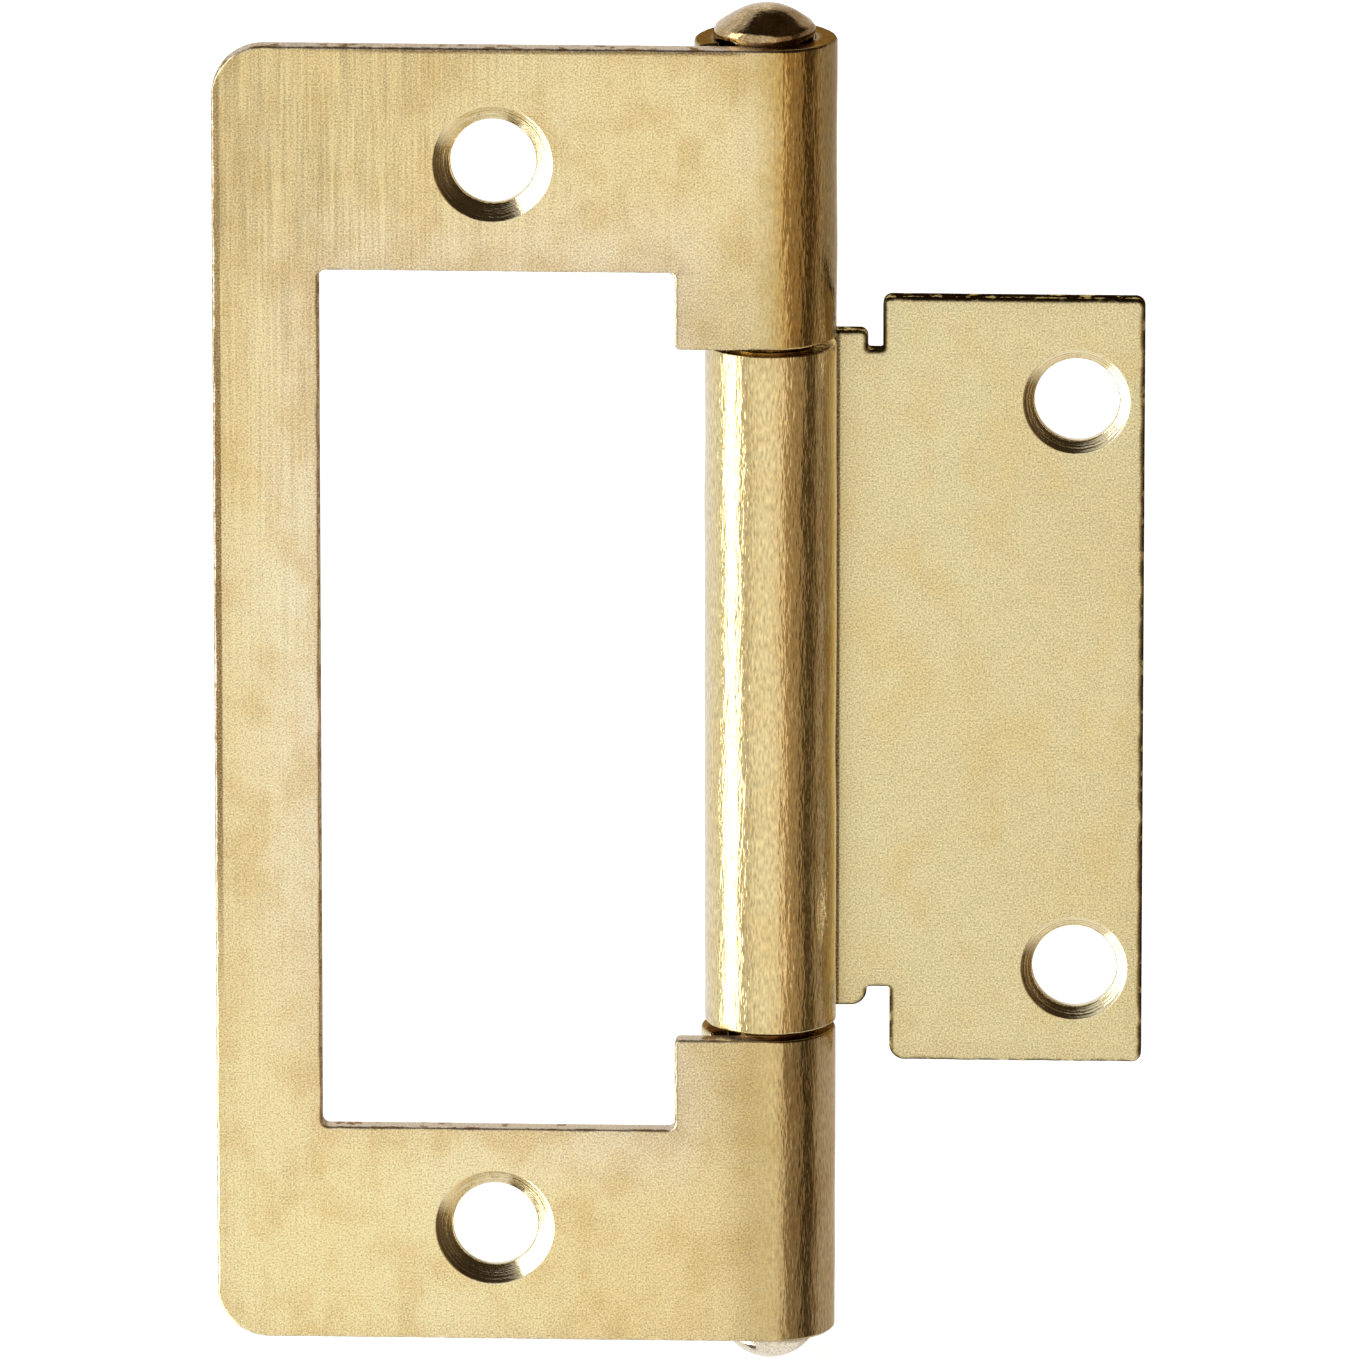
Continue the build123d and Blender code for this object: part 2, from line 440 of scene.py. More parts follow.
def write_mesh(name, points, quads, triangles, sunk_quads):
    """Mesh object at the origin from whole arrays, shaded smooth, with its sunk quads in slot 1."""
    mesh = bpy.data.meshes.new(name)
    mesh.from_pydata(points.tolist(), [], quads.tolist() + triangles.tolist())
    mesh.polygons.foreach_set("use_smooth", np.ones(len(mesh.polygons), bool))
    slots = np.zeros(len(mesh.polygons), np.int32)
    slots[:len(quads)] = sunk_quads
    mesh.polygons.foreach_set("material_index", slots)
    piece = bpy.data.objects.new(name, mesh)
    bpy.context.scene.collection.objects.link(piece)
    return piece


def add_attribute(piece, name, values):
    """Stores one number, or one vector, at every vertex of a piece."""
    kind = "FLOAT" if values.ndim == 1 else "FLOAT_VECTOR"
    key = "value" if values.ndim == 1 else "vector"
    layer = piece.data.attributes.new(name, kind, "POINT")
    layer.data.foreach_set(key, np.ascontiguousarray(values, np.float32).ravel())


# %% Faces and countersinks of a leaf
def in_sinks(bands, sunk_outside):
    """True for the quads that lie in a countersink, without its lips. The first band is the edge."""
    lips = (2, 1) if sunk_outside else (1, 2)
    edge, *sinks = bands
    sunk = [np.zeros(edge.shape[0] * (edge.shape[1] - 1), bool)]
    for band in sinks:
        row = np.arange(band.shape[1] - 1)
        sunk.append(np.tile((row >= lips[0]) & (row < len(row) - lips[1]), len(band)))
    return np.concatenate(sunk)


def fill_faces(bands, first):
    """Points and triangles of the two faces between the bands, the outside face first.

    first holds the index of every band's first point, and at its end the number of points so far.
    """
    grids, triangles = [], []
    total = first[-1]
    for row, depth in ((0, 0.0), (-1, sheet)):
        grid, fill = fill_face([band[:, row, :2] for band in bands])
        ring = [start + np.arange(len(band)) * band.shape[1] + row % band.shape[1]
                for band, start in zip(bands, first)]
        fill = np.concatenate(ring + [total + np.arange(len(grid))])[fill]
        total += len(grid)
        grids.append(np.column_stack((grid, np.full(len(grid), depth))))
        triangles.append(fill if row == 0 else fill[:, ::-1])
    return grids, triangles


# %% Leaf
# Waves have a longest and a shortest wavelength, in millimetres.
edge_unevenness = 0.14
edge_waves = (6.0, 0.6)
finest_round = 0.02
edge_spare = 0.01
flat_ripple = 0.010
flat_waves = (30.0, 7.0)
curl_ripple = 0.018
curl_waves = (9.0, 3.0)
curl_stretch = (1.0, 0.6)
cut_depth = 0.12
tarnish_reach = 0.6


def climb(values, low, high):
    """Straight climb from 0 at low to 1 at high, held at both ends."""
    return np.clip((values - low) / (high - low), 0, 1)


def make_leaf(name, outline, rounds, tightest, screws, sink_radius, sunk_outside, opening_at, side, seed):
    """A rolled leaf: edge band, countersinks and faces of one blank, rippled and then rolled.

    rounds holds the radii of its outside and inside edges, and tightest is the smallest corner
    that they have to fit in.
    """
    uneven = 1 + edge_unevenness * waves(outline, seed, *edge_waves)
    widest = tightest - edge_pad - edge_spare
    outside_round, inside_round = [np.clip(radius * uneven, finest_round, widest) for radius in rounds]
    bands = [edge_band(outline, outside_round, inside_round)]
    bands += [sink_band(screw, sink_radius, sunk_outside) for screw in screws]
    parts = [band.reshape(-1, 3) for band in bands]
    first = np.cumsum([0] + [len(part) for part in parts])
    quads = np.concatenate([band_faces(*band.shape[:2], start) for band, start in zip(bands, first)])
    grids, triangles = fill_faces(bands, first)

    blank = np.concatenate(parts + grids)
    flat, depth = blank[:, :2], blank[:, 2]
    curled = climb(flat[:, 0], -1, 1)
    ripple = (flat_ripple * (1 - curled) * waves(flat, seed + 1, *flat_waves)
              + curl_ripple * curled * waves(flat * curl_stretch, seed + 2, *curl_waves))
    points = roll_blank(np.column_stack((flat, depth + ripple)), opening_at(flat[:, 1]), side)
    piece = write_mesh(name, points, quads, np.concatenate(triangles), in_sinks(bands, sunk_outside))
    add_attribute(piece, "blank", blank)
    add_attribute(piece, "edge", np.exp(-reach_to(flat, [outline]) / tarnish_reach))
    add_attribute(piece, "cut", climb(np.minimum(depth, sheet - depth), 0, cut_depth))
    print(name, len(piece.data.vertices), "points,", len(piece.data.polygons), "faces")
    return piece, blank


# %% The two leaves
def screw_places(mount, side):
    """Places of a mount's two screws on the flat sheet, as (s, z)."""
    x, _, z = np.array(mounts[mount]["pos_m"]) / MM
    half_spacing = mounts[mount]["dims"]["spacing_y_mm"] / 2
    return [(side * (x - pin_x), z + half_spacing), (side * (x - pin_x), z - half_spacing)]


frame_leaf, frame_blank = make_leaf(
    "frame_leaf_sheet", frame_outline, rounds=(0.2, 0.07), tightest=lug_corner,
    screws=screw_places("frame_screws", 1), sink_radius=frame_sink_radius, sunk_outside=True,
    opening_at=lambda z: np.where(z > 0, top_curl_opening, bottom_curl_opening), side=1, seed=11,
)
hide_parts("frame_leaf")
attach(frame_leaf, "frame_side")

door_leaf, door_blank = make_leaf(
    "door_leaf_sheet", door_outline, rounds=(0.1, 0.32), tightest=curl_corner,
    screws=screw_places("door_screws", -1), sink_radius=door_sink_radius, sunk_outside=False,
    opening_at=np.zeros_like, side=-1, seed=23,
)
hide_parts("door_leaf")
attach(door_leaf, "door_side")

# %% [markdown]
# ## Uneven plating and painted light
#
# Brass from a plating bath is never even: it is thick and golden in some places, thin and pale in
# others, and dull where it was rubbed. A painted picture could carry that, but it would have to be
# kept in step with the sheet. Here three numbers at every vertex say it: `tone` scales the
# brightness, `bloom` draws the colour to gold, and `pallor` draws it to a thin pale layer. They
# are soft spots and slow climbs on the flat sheet, in millimetres.
# The numbers also carry painted light: painted shade on the frame leaf's curls and a painted highlight by the door
# leaf's seam.


# %% Soft shapes on the flat sheet
def ridge(values, middle, width):
    """Soft ridge: exp(-((value - middle) / width)^2)."""
    return np.exp(-((values - middle) / width) ** 2)


def plateau(values, begins, ends, drop=1.0):
    """Climbs from 0 to 1 over the span begins and falls by the drop over the span ends."""
    return climb(values, *begins) * (1 - drop * climb(values, *ends))


def patches(flat, spots):
    """Soft round patches: the sum of strength * exp(-(distance / radius)^2) over the spots."""
    total = np.zeros(len(flat))
    for s, z, radius, strength in spots:
        total += strength * np.exp(-((flat - (s, z)) ** 2).sum(axis=1) / radius**2)
    return total


# %% Plating of the frame leaf
# A spot is s, z, radius and strength.
frame_tone_spots = [
    (-28, 34, 9, -0.10), (-28, 2, 15, 0.07), (-29, -20, 7, 0.05), (-26, -33, 9, 0.09),
    (-14, -29, 7, 0.05), (-3, 22, 4, -0.12), (-3, -22.5, 4, -0.14),
]
frame_bloom_spots = [
    (-31, 30, 8, 0.32), (-20, 36.5, 3, 0.3), (-1.5, 36.5, 2.5, 0.4), (-1, -32, 3, 0.15),
    (-29, 16, 6, 0.10), (-29, -17, 6, 0.12), (-8, -31, 5, 0.08),
]
frame_pallor_spots = [(-28, 2, 10, 0.12), (-12, 31, 5, 0.12)]
lug_line_inset = 0.13
lug_line_width = 0.045


def frame_plating(blank):
    """Frame leaf's tone, bloom and pallor: dark lug lines, gold curls with painted shade, pale by the window."""
    s, z, depth = blank.T
    flat, upper = blank[:, :2], z > 0
    on_lug = (z > top_lug_end) & (z < window_top) | (z > window_bottom) & (z < bottom_lug_end)
    lug_line = ridge(s, -lug_reach + lug_line_inset, lug_line_width) * on_lug * (depth < sheet / 2)
    # Painted shade on the knuckles: darker bands on their curls and where the sheet turns into them.
    top_shade = 0.3 * climb(s, 3.2, 3.8) + 0.07 * ridge(s, -0.2, 1.5)
    bottom_shade = 0.34 * plateau(s, (0.4, 1.1), (2.3, 3.0))
    bottom_shade += 0.15 * climb(-z, 19, 29) * ridge(s, -0.4, 2.0)
    tone = 1 - 0.5 * lug_line + patches(flat, frame_tone_spots) - np.where(upper, top_shade, bottom_shade)

    top_gold = 0.95 * plateau(s, (-0.8, 0.6), (2.4, 3.6), 0.45)
    bottom_gold = 0.5 * plateau(s, (-2.6, -0.4), (0.3, 1.3), 0.8)
    left_gold = 0.18 * ridge(s, -far_reach, 2.0) * climb(z, -25, 0)
    bloom = np.where(upper, top_gold, bottom_gold) + left_gold + patches(flat, frame_bloom_spots)

    across = np.maximum(window_far - s, s + lug_reach)
    upright = np.maximum(window_bottom - z, z - window_top)
    from_window = np.hypot(np.maximum(across, 0), np.maximum(upright, 0))
    low_left = climb(-z, 14, 24) * climb(-s, 8, 20)
    pallor = 0.6 * ridge(from_window, 0, 3.5) * (1 - 0.8 * low_left) * (1 - climb(s, -5, -1))
    pallor += np.where(upper, 0, 0.5 * climb(s, 2.7, 3.3)) + patches(flat, frame_pallor_spots)
    return tone, bloom, pallor


# %% Plating of the door leaf
door_tone_spots = [(-5, 0, 6, 0.03), (-16, -16, 8, -0.02), (-18, 9, 6, -0.04)]
door_bloom_spots = [(-20, 8, 6, 0.25), (-20, -14, 4, 0.15)]


def door_plating(blank):
    """Tone, bloom and pallor of the door leaf: a pale strip, and a painted highlight by the seam, on a golden
    curl.
    """
    s, flat = blank[:, 0], blank[:, :2]
    # Painted highlight: by the seam the curl is made brighter and paler, for the bright leaf that it reflects
    # there.
    painted_seam_highlight = climb(s, 14.6, 15.4)
    pale_side = plateau(s, (4.0, 5.0), (7.6, 8.4))
    tone = 1 + 0.2 * painted_seam_highlight - 0.08 * pale_side + patches(flat, door_tone_spots)
    bloom = 0.5 * climb(s, 7.0, 9.5) * (1 - painted_seam_highlight) + patches(flat, door_bloom_spots)
    return tone, bloom, painted_seam_highlight + 0.6 * pale_side


for leaf, plating in ((frame_leaf, frame_plating(frame_blank)), (door_leaf, door_plating(door_blank))):
    for name, values in zip(("tone", "bloom", "pallor"), plating):
        add_attribute(leaf, name, values)
        print(leaf.name, name, f"from {values.min():.2f} to {values.max():.2f}")

# %% [markdown]
# ## The pin
#
# The pin is a turned rod. Its head was upset cold on the top knuckle, a little to one side of the
# shank, and came out as a lumpy low cone with a brim. A turned profile would make it a perfect
# cone, so the profile carried round the axis gets small lumps that grow towards the brim.

# %% Pin profile
head_radius = 2.84
head_offset = 0.4
head_lean = 0.18
crown_peak = 2.53
nose_radius = 3.3
rim_height = 0.64
rim_round = 0.45
tail_land = 0.5
pin_radius = 2.45


def pin_profile():
    """Radius and height along the pin, from the tip of its tail to the tip of its head.

    The tail's dome is the arc through its tip and its edge. On the head a flank of slope a leads
    from the rim to the nose, an arc of the nose radius that touches it.
    """
    dome_height = -half_height - tail_land - pin_low[2]
    dome_radius = (pin_radius**2 + dome_height**2) / (2 * dome_height)
    bend = np.linspace(0, math.asin(pin_radius / dome_radius), 14)
    dome = np.column_stack((dome_radius * np.sin(bend), pin_low[2] + dome_radius * (1 - np.cos(bend))))
    up_shank = np.linspace(-half_height - tail_land, half_height, 40)[1:]
    shank = np.column_stack((np.full_like(up_shank, pin_radius), up_shank))
    out_seat = np.linspace(pin_radius, head_radius, 5)[1:]
    seat = np.column_stack((out_seat, np.full_like(out_seat, half_height)))

    flank = math.atan2(crown_peak - rim_height, head_radius)
    turn = np.linspace(0, math.pi / 2 - flank, 8)
    shoulder = rim_round * math.tan((math.pi / 2 - flank) / 2)
    rim = np.column_stack((head_radius - rim_round + rim_round * np.cos(turn),
                           rim_height - shoulder + rim_round * np.sin(turn)))
    tilt = np.linspace(flank, 0, 10)
    nose_height = crown_peak - nose_radius / math.cos(flank)
    nose = np.column_stack((nose_radius * np.sin(tilt), nose_height + nose_radius * np.cos(tilt)))
    share = np.linspace(0, 1, 14)[1:-1, None]
    head = np.concatenate((rim, rim[-1] * (1 - share) + nose[0] * share, nose)) + (0, half_height)
    return np.concatenate((dome, shank, seat, head)).T


# %% Pin
around_pin = 112
head_blend = 0.3
lump_seed = 5
lump_waves = (3.5, 1.1)
lump_swell = 0.006
lump_height = 0.022


def make_pin(name):
    """The pin's profile turned round its axis, with lumps on the head and a fan on each tip."""
    radius, height = pin_profile()
    angle = np.linspace(0, 2 * math.pi, around_pin, endpoint=False)
    ring = np.column_stack((np.cos(angle), np.sin(angle)))
    flat = ring[:, None, :] * radius[None, :, None]
    level = np.broadcast_to(height, flat.shape[:2])
    above = level - half_height
    on_head = climb(above, 0, head_blend)
    on_seat = climb(radius, pin_radius, head_radius)
    places = np.dstack((flat, level)).reshape(-1, 3)
    lump = waves(places, lump_seed, *lump_waves).reshape(level.shape)
    lump = lump * climb(radius, 0, head_radius) * on_head
    lean = head_offset - head_lean * above / (pin_high[2] - half_height)
    lean = lean * np.maximum(on_head, on_seat)
    x = pin_x + flat[:, :, 0] * (1 + lump_swell * lump) - lean
    y = pin_y + flat[:, :, 1] * (1 + lump_swell * lump)
    turned = np.dstack((x, y, level + lump_height * lump)) * MM

    rows = len(radius) - 2
    walls, tips = turned[:, 1:-1].reshape(-1, 3), turned[0, [0, -1]]
    quads = band_faces(around_pin, rows, 0)[:, ::-1]
    lowest = np.arange(around_pin) * rows
    highest = lowest + rows - 1
    tail_tip = np.full(around_pin, around_pin * rows)
    fans = np.concatenate((
        np.column_stack((np.roll(lowest, -1), lowest, tail_tip)),
        np.column_stack((highest, np.roll(highest, -1), tail_tip + 1)),
    ))
    piece = write_mesh(name, np.concatenate((walls, tips)), quads, fans, False)
    print(name, len(piece.data.vertices), "points")
    return piece


hinge_pin = make_pin("hinge_pin_turned")
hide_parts("hinge_pin")
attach(hinge_pin, "frame_side")

# %% [markdown]
# ## Finishes
#
# Electro-brass is a thin bright layer over steel, so every finish here is a metal. What makes it
# look real is small: a fine grain from the rolled sheet, marks that run along the knuckles, soft
# clouds and smudges in the colour, brown stains along some edges and painted shade along others,
# and cut walls with chips and a painted glint in them, gold on the curls as a painted reflection.
# A picture of brass would stretch on the curls. Noise on the sheet's own flat coordinates, in
# millimetres, follows the sheet round them instead.


# %% Shader helpers
def put(tree, kind, inputs=None, **settings):
    """Adds a node with its settings. An input that is a socket is linked, and any other is a value."""
    node = tree.nodes.new(kind)
    for name, value in settings.items():
        setattr(node, name, value)
    for name, value in (inputs or {}).items():
        if isinstance(value, bpy.types.NodeSocket):
            tree.links.new(value, node.inputs[name])
        else:
            node.inputs[name].default_value = value
    return node


def attribute(tree, name, output="Fac"):
    """What the mesh carries at its vertices under that name: a number, or with Vector a vector."""
    return put(tree, "ShaderNodeAttribute", attribute_name=name).outputs[output]


def noise(tree, places, stretch, detail, roughness):
    """Noise from 0 to 1 with so many features per millimetre along each axis."""
    stretched = put(tree, "ShaderNodeVectorMath", {0: places, 1: stretch}, operation="MULTIPLY")
    return put(tree, "ShaderNodeTexNoise", {
        "Vector": stretched.outputs[0], "Scale": 1.0, "Detail": detail, "Roughness": roughness,
    }).outputs[0]


def remap(tree, value, low, high, to_low, to_high):
    """Straight-line change of range, held at both ends."""
    return put(tree, "ShaderNodeMapRange", {
        "Value": value, "From Min": low, "From Max": high, "To Min": to_low, "To Max": to_high,
    }).outputs[0]


# %% Arithmetic on sockets
def sums(tree, kind, first, second=0.0):
    """One arithmetic step on two numbers or sockets, or on the first alone."""
    return put(tree, "ShaderNodeMath", {0: first, 1: second}, operation=kind).outputs[0]


def plus(tree, first, second):
    """Sum of two numbers or sockets."""
    return sums(tree, "ADD", first, second)


def times(tree, first, second):
    """Product of two numbers or sockets."""
    return sums(tree, "MULTIPLY", first, second)


def scaled(tree, vector, factor):
    """A vector or a colour times a number."""
    return put(tree, "ShaderNodeVectorMath", {0: vector, "Scale": factor}, operation="SCALE").outputs[0]


def tint(tree, share, first, second):
    """Blends two colours by a share."""
    return put(tree, "ShaderNodeMix", {0: share, 6: first, 7: second}, data_type="RGBA").outputs[2]


# %% Metal
def new_metal(name):
    """Empty metal material with its shader, and the tree that holds it."""
    finish = bpy.data.materials.new(name)
    finish.use_nodes = True
    tree = finish.node_tree
    shader = tree.nodes["Principled BSDF"]
    shader.inputs["Metallic"].default_value = 1.0
    return finish, tree, shader


def dress(tree, shader, colour, rough, height, step):
    """Links colour, roughness and a bump to the shader. One unit of height is a step, in metres."""
    bump = put(tree, "ShaderNodeBump", {"Height": height, "Strength": 1.0, "Distance": step})
    tree.links.new(colour, shader.inputs["Base Color"])
    tree.links.new(rough, shader.inputs["Roughness"])
    tree.links.new(bump.outputs[0], shader.inputs["Normal"])


# %% Plated sheet
# Pale colour of thin plating, and also of the painted highlight by the door leaf's seam.
thin_plating_and_highlight = (0.93, 0.79, 0.56, 1)
untinted = (1, 1, 1, 1)
eased_line_share = 0.6


def plated_sheet(name, warm, pale, gold, stain_and_shadow, wall, chip_and_reflection, glint_depth, stain_and_shadow_lines, brush):
    """Satin brass on sheet steel: grain, wrinkled curls, clouds of colour, stains, painted shade and cut walls.

    The bloom attribute says where the plating is gold, and pallor where it is thin and pale; by the
    door leaf's seam pallor is a painted highlight. A stain or shadow line is (axis, strong, gone,
    begins, eases): on the flat sheet it fades along its axis, and along the other it sets in over the
    span begins and weakens over the span eases. On the frame leaf these lines are stains, and on the
    door leaf they are painted shade. Chips break up the cut walls, most of all at the glint depth,
    where on the door leaf they are a painted glint. On the curls the cut walls take the chip colour
    as a painted gold reflection. brush is the strength of the brush lines at the upper left, where
    they are strongest.
    """
    finish, tree, shader = new_metal(name)
    blank = attribute(tree, "blank", "Vector")
    edge, cut, tone = attribute(tree, "edge"), attribute(tree, "cut"), attribute(tree, "tone")
    bloom, pallor = attribute(tree, "bloom"), attribute(tree, "pallor")
    axes = put(tree, "ShaderNodeSeparateXYZ", {0: blank}).outputs
    along, upright, depth = axes
    curled = remap(tree, along, -1.2, 0.8, 0, 1)

    grain = noise(tree, blank, (10.0, 10.0, 10.0), 1.0, 0.6)
    drawn = noise(tree, blank, (3.0, 0.5, 1.0), 2.0, 0.6)
    wrinkle = noise(tree, blank, (7.5, 2.0, 3.0), 1.0, 0.6)
    brushed = noise(tree, blank, (5.5, 0.12, 1.0), 2.0, 0.6)
    mottle = noise(tree, blank, (1.1, 1.1, 1.1), 3.0, 0.62)
    smudge = noise(tree, blank, (0.33, 0.26, 0.3), 2.0, 0.6)
    cloud = noise(tree, blank, (0.07, 0.055, 0.2), 2.0, 0.5)

    colour = tint(tree, remap(tree, cloud, 0.35, 0.65, 0, 1), warm, pale)
    colour = tint(tree, pallor, colour, thin_plating_and_highlight)
    colour = tint(tree, remap(tree, smudge, 0.46, 0.66, 0, 0.34), colour, gold)
    colour = tint(tree, times(tree, bloom, remap(tree, mottle, 0.3, 0.65, 0.7, 1.0)), colour, gold)

    off_glint = sums(tree, "ABSOLUTE", sums(tree, "SUBTRACT", depth, glint_depth))
    front = remap(tree, off_glint, 0.45, 0.65, 1, 0)
    before_curl = remap(tree, along, -2.0, -1.0, 1, 0)
    specked = remap(tree, grain, 0.3, 0.62, 1.0, 0.72)
    stain_and_shadow_share = times(tree, edge, 0.12)
    # On the door leaf these lines are painted shade: a shadow beside the knuckle and a dark line under the top
    # edge. On the frame leaf they are stains.
    for axis, strong, gone, begins, eases in stain_and_shadow_lines:
        line = times(tree, remap(tree, axes[axis], gone, strong, 0, 1), before_curl)
        line = times(tree, line, remap(tree, axes[1 - axis], *begins, 0, front))
        line = times(tree, line, remap(tree, axes[1 - axis], *eases, 1, eased_line_share))
        stain_and_shadow_share = sums(tree, "MAXIMUM", stain_and_shadow_share, times(tree, line, specked))
    colour = tint(tree, stain_and_shadow_share, colour, stain_and_shadow)

    # At the glint depth the chips make a line, which on the door leaf is a painted glint.
    chips_and_glints = plus(tree, mottle, remap(tree, off_glint, 0.05, 0.11, 0.09, 0))
    bare_wall_and_reflection = tint(tree, remap(tree, chips_and_glints, 0.56, 0.62, 0, 1), wall, chip_and_reflection)
    # Painted reflection: on the curls the cut walls take the chip colour, gold as in the knuckle gaps.
    bare_wall_and_reflection = tint(tree, curled, bare_wall_and_reflection, chip_and_reflection)
    colour = tint(tree, times(tree, cut, 0.95), colour, bare_wall_and_reflection)
    tree.links.new(tint(tree, cut, untinted, bare_wall_and_reflection), shader.inputs["Specular Tint"])

    upper_left = times(tree, remap(tree, upright, 0, 32, 0.2, 1), remap(tree, along, -10, -24, 0.2, 1))
    lines = times(tree, sums(tree, "SUBTRACT", brushed, 0.5), times(tree, upper_left, brush))
    speck = plus(tree, times(tree, grain, 0.85), times(tree, mottle, 0.15))
    speck = plus(tree, speck, lines)
    curl_speck = remap(tree, wrinkle, 0.2, 0.8, 0.32, 0.68)
    speck = put(tree, "ShaderNodeMix", {0: curled, 2: speck, 3: curl_speck}).outputs[0]
    shade = times(tree, remap(tree, speck, 0.3, 0.7, 0.60, 1.37), tone)

    rough = plus(tree, remap(tree, curled, 0, 1, 0.34, 0.12), remap(tree, mottle, 0.3, 0.7, -0.03, 0.05))
    rough = plus(tree, rough, times(tree, cut, 0.1))
    streak = times(tree, drawn, remap(tree, curled, 0, 1, 0.12, 1.8))
    streak = plus(tree, streak, times(tree, wrinkle, remap(tree, curled, 0, 1, 0.03, 0.7)))
    dress(tree, shader, scaled(tree, colour, shade), rough, streak, 2.2e-5)
    print("finish", name, len(tree.nodes), "nodes")
    return finish


# %% [markdown]
# A countersink is cut on a drill press, so it shows the rings of its tool and a few pits instead
# of brush lines. The two on the door leaf seem to have been cut a little askew. That shows only in
# what they reflect, so their shading leans, and their shape stays the same as in the CAD model.


# %% Turned countersink
def turned_sink(name, base, dark, askew, dished):
    """Bright turned cone: rings left by the tool, chatter across them and a few dark pits.

    askew leans the shading along the sheet, for a cutter that didn't stand square on the leaf, and
    dished leans it with the depth, for a cone worn a little flatter.
    """
    finish, tree, shader = new_metal(name)
    blank = attribute(tree, "blank", "Vector")
    along, _, depth = put(tree, "ShaderNodeSeparateXYZ", {0: blank}).outputs
    pit = noise(tree, blank, (2.4, 2.4, 2.4), 4.0, 0.7)
    grain = noise(tree, blank, (8.0, 8.0, 8.0), 2.0, 0.5)
    wander = plus(tree, depth, times(tree, pit, 0.12))
    rings = put(tree, "ShaderNodeTexNoise", {"W": wander, "Scale": 14.0, "Detail": 2.0},
                noise_dimensions="1D").outputs[0]
    colour = tint(tree, remap(tree, pit, 0.26, 0.40, 0.9, 0.0), base, dark)
    rough = remap(tree, grain, 0.3, 0.7, 0.05, 0.13)
    height = plus(tree, rings, times(tree, pit, 0.8))
    height = plus(tree, height, times(tree, grain, 0.5))
    lean = plus(tree, times(tree, along, askew), times(tree, depth, dished))
    dress(tree, shader, colour, rough, plus(tree, height, lean), 1.0e-5)
    print("finish", name, len(tree.nodes), "nodes")
    return finish


# %% Bright pin
def bright_pin(name, base, brown, worn):
    """Bright brass on a cold-formed rivet: small dents, specks and brown clouds, and a worn pale tail."""
    finish, tree, shader = new_metal(name)
    places = scaled(tree, put(tree, "ShaderNodeTexCoord").outputs["Object"], 1 / MM)
    cloud = noise(tree, places, (1.3, 1.3, 1.3), 3.0, 0.6)
    dent = noise(tree, places, (2.4, 2.4, 2.4), 2.0, 0.5)
    grain = noise(tree, places, (9.0, 9.0, 9.0), 2.0, 0.6)
    upright = put(tree, "ShaderNodeSeparateXYZ", {0: places}).outputs[2]
    colour = tint(tree, remap(tree, cloud, 0.35, 0.65, 0, 1), base, brown)
    colour = tint(tree, remap(tree, upright, -half_height - tail_land, -half_height, 1, 0), colour, worn)
    colour = scaled(tree, colour, remap(tree, grain, 0.3, 0.7, 0.6, 1.3))
    rough = remap(tree, grain, 0.3, 0.7, 0.1, 0.2)
    height = plus(tree, times(tree, dent, 2.0), times(tree, grain, 0.15))
    dress(tree, shader, colour, rough, height, 1.5e-5)
    print("finish", name, len(tree.nodes), "nodes")
    return finish


# %% Assign the finishes
# A stain or shadow line that begins before the sheet runs along all of it, and one that eases past
# the sheet doesn't weaken.
before_sheet, past_sheet = (-101, -100), (100, 101)
frame_finish = plated_sheet(
    "frame_leaf_brass",
    warm=(0.895, 0.71, 0.352, 1), pale=(0.935, 0.78, 0.44, 1), gold=(0.64, 0.43, 0.135, 1),
    stain_and_shadow=(0.21, 0.125, 0.045, 1), wall=(0.84, 0.75, 0.63, 1), chip_and_reflection=(0.42, 0.30, 0.18, 1),
    glint_depth=0.15, brush=0.55, stain_and_shadow_lines=[
        (0, -far_reach + 0.42, -far_reach + 0.50, (-20, -6), (14, 30)),
        (1, half_height - 0.18, half_height - 0.36, (-28, -20), past_sheet),
    ],
)
door_finish = plated_sheet(
    "door_leaf_brass",
    warm=(0.81, 0.69, 0.37, 1), pale=(0.84, 0.735, 0.42, 1), gold=(0.80, 0.57, 0.23, 1),
    # Here the stain colour also paints shade, and the pale chip colour paints glints and a gold reflection.
    stain_and_shadow=(0.09, 0.045, 0.012, 1), wall=(0.07, 0.045, 0.015, 1), chip_and_reflection=(0.74, 0.60, 0.32, 1),
    glint_depth=sheet - 0.34, brush=0.05, stain_and_shadow_lines=[
        # Painted shade: a shadow line on the face beside the knuckle, then a dark line under the top edge.
        (0, -barrel_radius - 0.06, -barrel_radius - 0.14, before_sheet, past_sheet),
        (1, ear_top - 0.14, ear_top - 0.26, before_sheet, past_sheet),
    ],
)
sink_base, sink_dark = (0.90, 0.78, 0.50, 1), (0.30, 0.20, 0.08, 1)
frame_sink_finish = turned_sink("frame_countersink_brass", sink_base, sink_dark, askew=0.0, dished=0.0)
door_sink_finish = turned_sink("door_countersink_brass", sink_base, sink_dark, askew=10.0, dished=-11.0)
pin_finish = bright_pin(
    "pin_brass", base=(0.64, 0.48, 0.26, 1), brown=(0.42, 0.28, 0.13, 1), worn=(0.86, 0.76, 0.58, 1),
)
for piece, finishes in (
    (frame_leaf, (frame_finish, frame_sink_finish)),
    (door_leaf, (door_finish, door_sink_finish)),
    (hinge_pin, (pin_finish,)),
):
    for finish in finishes:
        piece.data.materials.append(finish)

